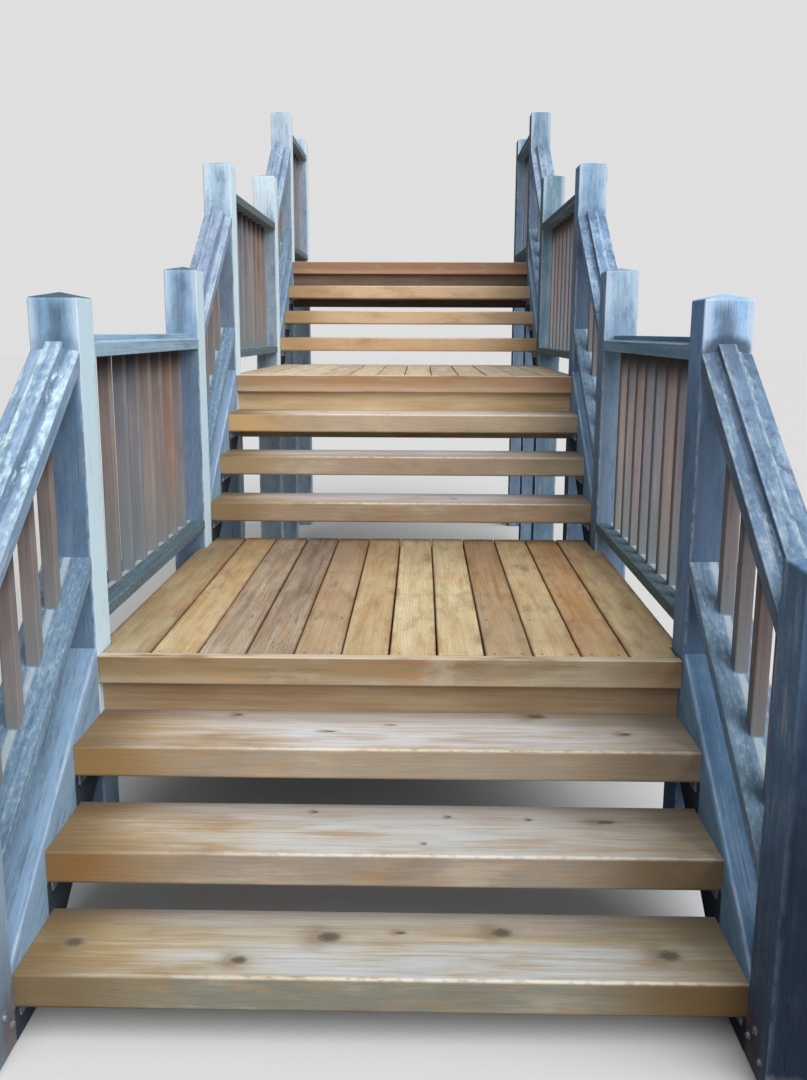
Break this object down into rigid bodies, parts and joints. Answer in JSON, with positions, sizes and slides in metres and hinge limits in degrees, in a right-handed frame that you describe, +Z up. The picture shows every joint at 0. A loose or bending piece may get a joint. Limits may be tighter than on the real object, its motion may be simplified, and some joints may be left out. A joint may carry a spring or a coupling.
{
  "type": "wooden deck stairs with landings",
  "caption": "Timber stairs in short open-riser flights of thick plank treads, with landings, square posts, moulded handrails and balusters.",
  "frame": {"origin": "centre of the footprint, at the ground", "axes": "+Y up the stairs, +X to the right when climbing, +Z up"},
  "size_m": [2.011, 7.01, 3.225],
  "materials": {
    "tread_timber": "planed cedar, sealed, worn along the front",
    "stringer_timber": "weathered grey sawn cedar",
    "deck_timber": "mixed cedar boards, walked on",
    "edge_timber": "planed cedar with a pale worn top",
    "beam_timber": "brown stained sawn timber",
    "frame_timber": "brown grey sawn timber",
    "post_timber": "silver grey weathered sawn timber",
    "rail_timber": "silver grey weathered timber",
    "baluster_timber": "brown and grey weathered sawn timber",
    "galvanised_steel": "dull hot dip zinc"
  },
  "bodies": {
    "root": {"flight_1_tread_1": "tread_timber", "flight_1_tread_2": "tread_timber", "flight_1_tread_3": "tread_timber", "flight_2_tread_1": "tread_timber", "flight_2_tread_2": "tread_timber", "flight_2_tread_3": "tread_timber", "flight_3_tread_1": "tread_timber", "flight_3_tread_2": "tread_timber", "flight_3_tread_3": "tread_timber", "flight_1_stringers": "stringer_timber", "flight_2_stringers": "stringer_timber", "flight_3_stringers": "stringer_timber", "tread_angles": "galvanised_steel", "landing_1_deck": "deck_timber", "landing_2_deck": "deck_timber", "landing_3_deck": "deck_timber", "landing_1_edge_board": "edge_timber", "landing_2_edge_board": "edge_timber", "landing_3_edge_board": "edge_timber", "landing_1_front_beam": "beam_timber", "landing_2_front_beam": "beam_timber", "landing_3_front_beam": "beam_timber", "landing_1_frame": "frame_timber", "landing_2_frame": "frame_timber", "landing_3_frame": "frame_timber", "flight_1_foot_posts": "post_timber", "flight_2_foot_posts": "post_timber", "flight_3_foot_posts": "post_timber", "flight_1_head_posts": "post_timber", "flight_2_head_posts": "post_timber", "flight_3_head_posts": "post_timber", "rear_posts": "post_timber", "flight_1_handrails": "rail_timber", "flight_2_handrails": "rail_timber", "flight_3_handrails": "rail_timber", "landing_1_handrails": "rail_timber", "landing_2_handrails": "rail_timber", "landing_3_handrails": "rail_timber", "flight_1_balusters": "baluster_timber", "flight_2_balusters": "baluster_timber", "flight_3_balusters": "baluster_timber", "landing_1_balusters": "baluster_timber", "landing_2_balusters": "baluster_timber", "landing_3_balusters": "baluster_timber"}
  },
  "joints": []
}
